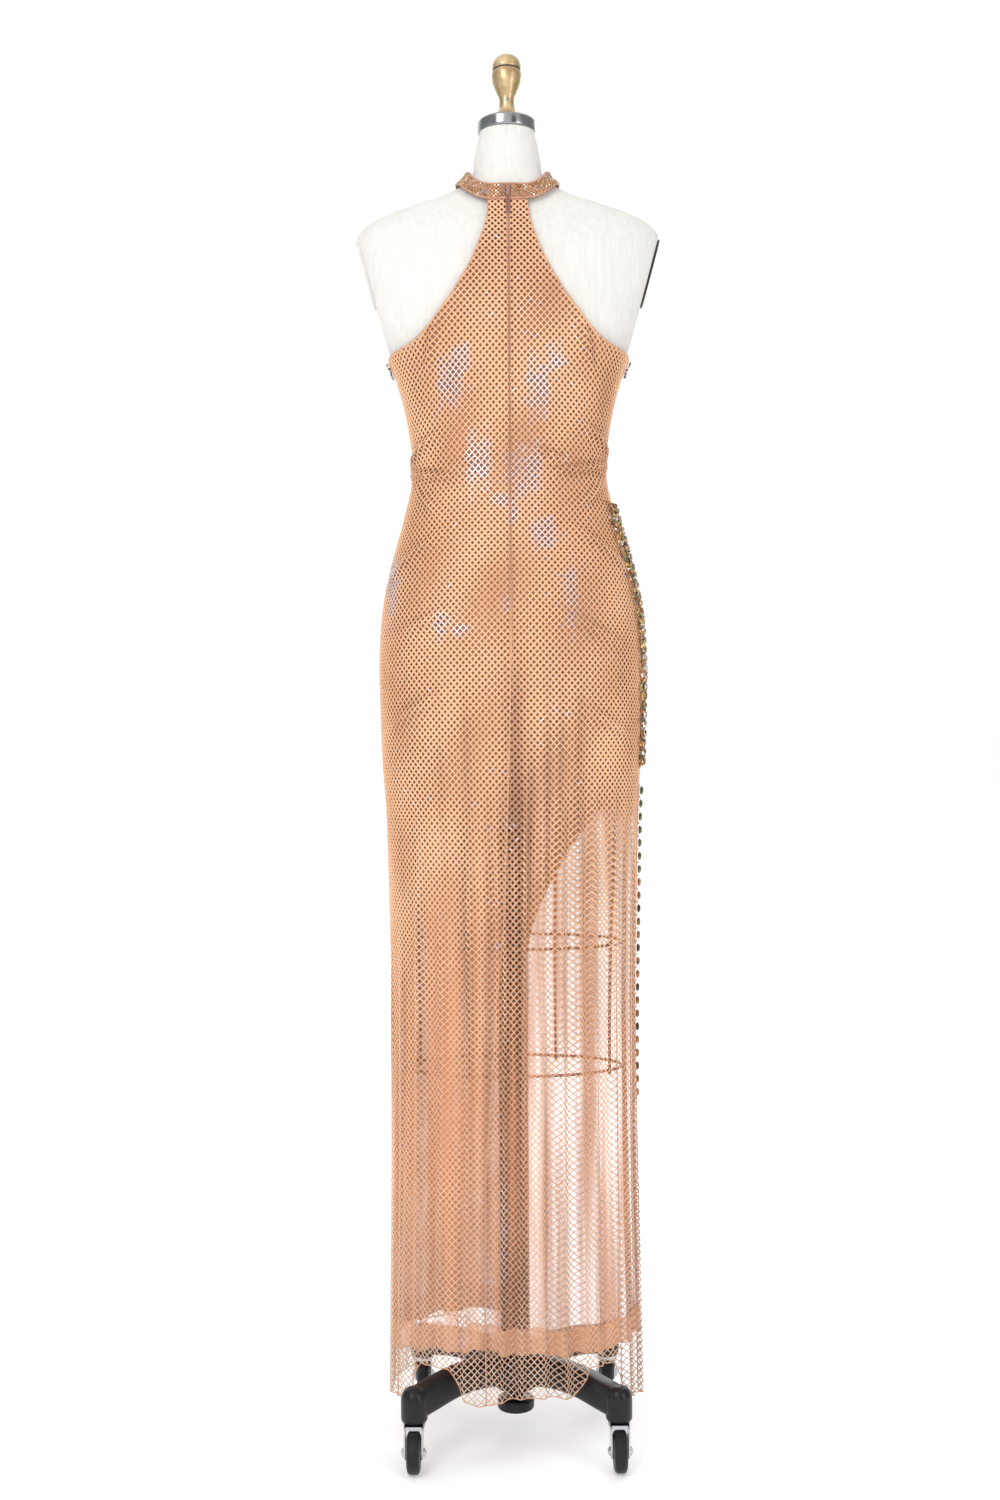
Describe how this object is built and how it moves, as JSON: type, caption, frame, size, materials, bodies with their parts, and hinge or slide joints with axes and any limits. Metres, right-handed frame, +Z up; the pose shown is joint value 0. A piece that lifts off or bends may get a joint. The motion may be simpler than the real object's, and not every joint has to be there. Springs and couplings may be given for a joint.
{
  "type": "halter maxi dress on a limbless dress form with a wheeled stand",
  "caption": "Floor-length fishnet halter dress over a sheer lining, with a side slit, back zip and beaded side, on a linen dress form with a wheeled iron stand.",
  "frame": {"origin": "on the floor under the centre of the stand's post", "axes": "+Z up; the dress's back and zip face -Y, its front faces +Y, and the wearer's right is towards +X"},
  "size_m": [0.3944, 0.306, 1.7883],
  "materials": {
    "net": "glossy peach diamond fishnet with a foil sparkle",
    "collar_net": "doubled fishnet set with crystals",
    "lining": "sheer nude stretch mesh with a doubled hem",
    "zip_tape": "mauve invisible zip tape",
    "zip_metal": "dark enamelled zip slider and pull",
    "crystal": "faceted beads and stones in gold, copper and green",
    "linen": "ivory woven linen cover",
    "arm_plate": "dark painted plate",
    "chrome": "polished",
    "finial": "aged brass with a dark groove",
    "wire": "drawn wire",
    "post": "plain steel rod",
    "black_iron": "satin black paint",
    "caster_steel": "bright zinc plate",
    "caster_rubber": "satin black"
  },
  "bodies": {
    "stand": {"leg_base": "black_iron", "hub_foot": "black_iron", "post_sleeve": "black_iron"},
    "dressed_form": {"net_back_left": "net", "net_back_right": "net", "net_front": "net", "collar": "collar_net", "lining_back_left": "lining", "lining_back_right": "lining", "lining_front": "lining", "zip_tape": "zip_tape", "zip_slider": "zip_metal", "bead_trim": "crystal", "stone_edge": "crystal", "underarm_trim_left": "crystal", "underarm_trim_right": "crystal", "form_body": "linen", "arm_plate_left": "arm_plate", "arm_plate_right": "arm_plate", "neck_cap": "chrome", "finial": "finial", "cage_hoop_upper": "wire", "cage_hoop_lower": "wire", "cage_rod_1": "wire", "cage_rod_2": "wire", "cage_rod_3": "wire", "cage_rod_4": "wire", "post_rod": "post"},
    "zip_pull": {"zip_pull": "zip_metal"},
    "fork_1": {"caster_fork_1": "caster_steel"},
    "wheel_1": {"caster_wheel_1": "caster_rubber"},
    "fork_2": {"caster_fork_2": "caster_steel"},
    "wheel_2": {"caster_wheel_2": "caster_rubber"},
    "fork_3": {"caster_fork_3": "caster_steel"},
    "wheel_3": {"caster_wheel_3": "caster_rubber"},
    "fork_4": {"caster_fork_4": "caster_steel"},
    "wheel_4": {"caster_wheel_4": "caster_rubber"}
  },
  "joints": [
    {"name": "form_height", "type": "slide", "parent": "stand", "child": "dressed_form", "axis": [0, 0, 1], "range_m": [0, 0.25]},
    {"name": "zip_pull_hinge", "type": "hinge", "parent": "dressed_form", "child": "zip_pull", "pos_m": [0, -0.06835, 1.5928], "axis": [-1, 0, 0], "range_deg": [0, 150]},
    {"name": "swivel_1", "type": "hinge", "parent": "stand", "child": "fork_1", "pos_m": [0.126, 0.113, 0.054], "axis": [0, 0, 1], "continuous": true},
    {"name": "roll_1", "type": "hinge", "parent": "fork_1", "child": "wheel_1", "pos_m": [0.126, 0.128, 0.025], "axis": [1, 0, 0], "continuous": true},
    {"name": "swivel_2", "type": "hinge", "parent": "stand", "child": "fork_2", "pos_m": [-0.126, 0.113, 0.054], "axis": [0, 0, 1], "continuous": true},
    {"name": "roll_2", "type": "hinge", "parent": "fork_2", "child": "wheel_2", "pos_m": [-0.126, 0.128, 0.025], "axis": [1, 0, 0], "continuous": true},
    {"name": "swivel_3", "type": "hinge", "parent": "stand", "child": "fork_3", "pos_m": [-0.126, -0.113, 0.054], "axis": [0, 0, 1], "continuous": true},
    {"name": "roll_3", "type": "hinge", "parent": "fork_3", "child": "wheel_3", "pos_m": [-0.126, -0.128, 0.025], "axis": [1, 0, 0], "continuous": true},
    {"name": "swivel_4", "type": "hinge", "parent": "stand", "child": "fork_4", "pos_m": [0.126, -0.113, 0.054], "axis": [0, 0, 1], "continuous": true},
    {"name": "roll_4", "type": "hinge", "parent": "fork_4", "child": "wheel_4", "pos_m": [0.126, -0.128, 0.025], "axis": [1, 0, 0], "continuous": true}
  ]
}
